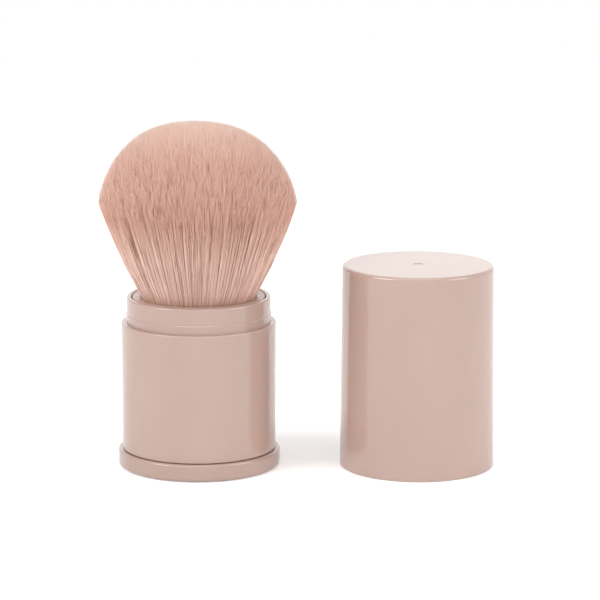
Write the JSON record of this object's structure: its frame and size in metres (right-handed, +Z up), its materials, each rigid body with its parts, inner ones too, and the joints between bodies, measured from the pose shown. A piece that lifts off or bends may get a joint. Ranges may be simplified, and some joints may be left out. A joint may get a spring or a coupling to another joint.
{
  "type": "retractable makeup brush",
  "caption": "Round upright makeup brush: a fanned bristle head on a short handle, a sliding sleeve that gathers it, and a lift-off cap.",
  "frame": {"origin": "centre of the base flange's flat underside, on the axis of the brush", "axes": "+Z up along the axis of the brush, from the base to the bristle tips; +X towards the cap that stands beside the brush; +Y away from the picture's viewer"},
  "size_m": [0.0972, 0.0482, 0.0855],
  "materials": {
    "nude_plastic": "glossy moulded",
    "rubber_ring": "matt",
    "drawn_aluminium": "satin",
    "glue": "set epoxy",
    "bristles": "fine synthetic fibre"
  },
  "bodies": {
    "handle": {"base_flange": "nude_plastic", "core_tube": "nude_plastic", "head_holder": "nude_plastic", "friction_ring": "rubber_ring", "ferrule": "drawn_aluminium", "glue_plug": "glue", "bristle_head": "bristles"},
    "sleeve": {"casing_sleeve": "nude_plastic", "neck_tube": "nude_plastic"},
    "cap": {"cap": "nude_plastic"}
  },
  "joints": [
    {"name": "sleeve_slide", "type": "slide", "parent": "handle", "child": "sleeve", "axis": [0, 0, 1], "range_m": [0, 0.0253], "deforming": ["bristle_head"]},
    {"name": "cap_lift", "type": "slide", "parent": "handle", "child": "cap", "axis": [0, 0, 1], "range_m": [0, 0.09]}
  ]
}
